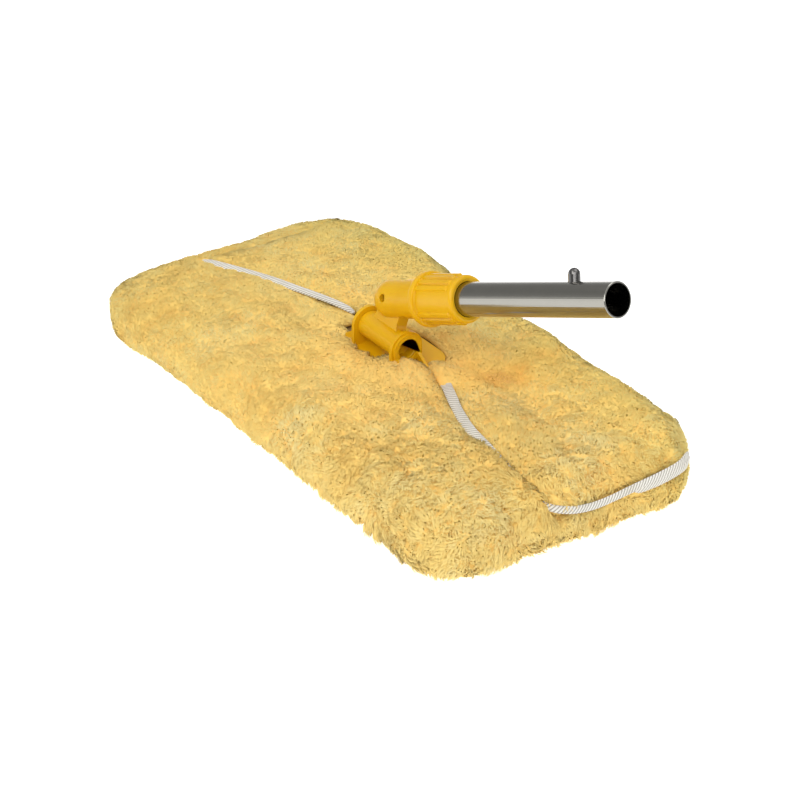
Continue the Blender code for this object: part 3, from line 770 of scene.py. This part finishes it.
# Painted shade: the board's dark brown stands in for the shaded wool seen through the gaps round the
# opening
board = plain_material(
    "board_gap_shade", [(0.3, (0.20, 0.12, 0.035)), (0.6, (0.30, 0.19, 0.06))], 0.004, (0.6, 0.8))
collet_plastic = plain_material(
    "collet_face", [(0.3, (0.62, 0.60, 0.54)), (0.7, (0.75, 0.73, 0.68))], 0.006, (0.35, 0.5))

CAD_LOOKS = {
    "swivel_bracket": yellow, "pivot_tee": yellow, "cross_pin": yellow, "handle_socket": yellow,
    "lock_collar": yellow, "tube": steel, "snap_button": dark_steel, "socket_pin": plain_steel,
    "button_spring": plain_steel, "foam_block": foam, "backing_plate": board, "collet": collet_plastic,
    **{f"bracket_screw_{i}": plain_steel for i in range(1, 5)},
}
for node_name, material in CAD_LOOKS.items():
    for material_slot in nodes[node_name].material_slots:
        material_slot.material = material

# --- The object -----------------------------------------------------------------------------------

rng = np.random.default_rng(SEED)
tape_paths = [twill_tape(tape_name, *tape) for tape_name, tape in TAPES.items()]
tape_tree = tree_of(np.vstack([path[::6] for path in tape_paths]))

for node_name, piece_name, prefix, is_flap, parts in (
    ("wool_sleeve", "sheepskin_sleeve", "sleeve_locks", False, 6),
    ("wool_flap", "sheepskin_flap", "flap_locks", True, 4),
):
    piece, skin = wool_base(node_name, piece_name)
    facing, clumps, clump_middles, crest_shades = wool_form(piece, skin, is_flap, rng)
    base_layout(piece.data, facing, skin)
    piece.data.shade_smooth()
    piece.data.materials.append(wool)
    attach(piece, "head")
    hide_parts(node_name)
    for locks in grow(piece, prefix, skin, crest_shades, clumps, clump_middles, tape_tree, rng, parts):
        locks.data.materials.append(wool)

# --- Studio ---------------------------------------------------------------------------------------

# How light the world is: at its two ends, and at heights between them
WALL_ENDS = (0.9, 1.0)
WALL_BAND = ((0.03, 0.75), (0.11, 0.48), (0.36, 0.34), (0.6, 0.85))
WORLD_STRENGTH = 0.86

# Camera, fitted to the photograph, in m
CAMERA_PLACE = (1.2542, -0.8537, 0.8760)
CAMERA_TARGET = (0.03738, -0.01519, 0.030)


def stage_floor():
    mesh = bpy.data.meshes.new("floor")
    side = 6.0  # m
    corners = [(-side, -side, 0), (side, -side, 0), (side, side, 0), (-side, side, 0)]
    mesh.from_pydata(corners, [], [(0, 1, 2, 3)])
    obj = link(bpy.data.objects.new("floor", mesh))
    white = Shade("floor_white", Roughness=0.95, Base_Color=(0.55, 0.55, 0.55, 1),
                  Emission_Color=(1, 1, 1, 1), Emission_Strength=0.95, Specular_IOR_Level=0.0)
    mesh.materials.append(white.material)


def aimed(obj, place, target):
    """Put obj at place and point it at target, both in m."""
    obj.location = place
    obj.rotation_euler = (Vector(target) - Vector(place)).to_track_quat("-Z", "Y").to_euler()
    return link(obj)


def area_light(name, place, target, size, power, colour=(1, 1, 1)):
    """A soft light; places and size in m, power in W."""
    light = bpy.data.lights.new(name, "AREA")
    light.shape = "RECTANGLE"
    light.size, light.size_y = size
    light.energy = power
    light.color = colour
    aimed(bpy.data.objects.new(name, light), place, target)


def studio_world():
    """Bright below and overhead, with a darker band above the horizon for the steel to mirror."""
    world = bpy.data.worlds.new("studio")
    world.use_nodes = True
    sky = world.node_tree.nodes
    direction = sky.new("ShaderNodeTexCoord")
    split = sky.new("ShaderNodeSeparateXYZ")
    walls = sky.new("ShaderNodeValToRGB")
    stops = walls.color_ramp.elements
    for at, level in WALL_BAND:
        stops.new(at).color = (level, level, level, 1)
    for stop, level in zip((stops[0], stops[-1]), WALL_ENDS):
        stop.color = (level, level, level, 1)
    join = world.node_tree.links.new
    join(direction.outputs["Generated"], split.inputs[0])
    join(split.outputs["Z"], walls.inputs["Fac"])
    join(walls.outputs["Color"], sky["Background"].inputs["Color"])
    sky["Background"].inputs["Strength"].default_value = WORLD_STRENGTH
    return world


stage_floor()
area_light("key", (0.4, -1.8, 1.95), (0, 0, 0), (1.3, 1.3), 21, (1.0, 0.985, 0.96))
area_light("fill", (1.8, -1.0, 1.4), (0, 0, 0.05), (1.2, 1.0), 12)
area_light("top", (0.4, 0.9, 2.2), (0, 0, 0), (1.4, 0.9), 8)

camera = bpy.data.cameras.new("camera")
camera.lens = 118.57
camera.sensor_width = 36.0
camera.clip_start = 0.05

scene = bpy.context.scene
scene.world = studio_world()
scene.view_settings.view_transform = "Standard"
scene.camera = aimed(bpy.data.objects.new("camera", camera), CAMERA_PLACE, CAMERA_TARGET)
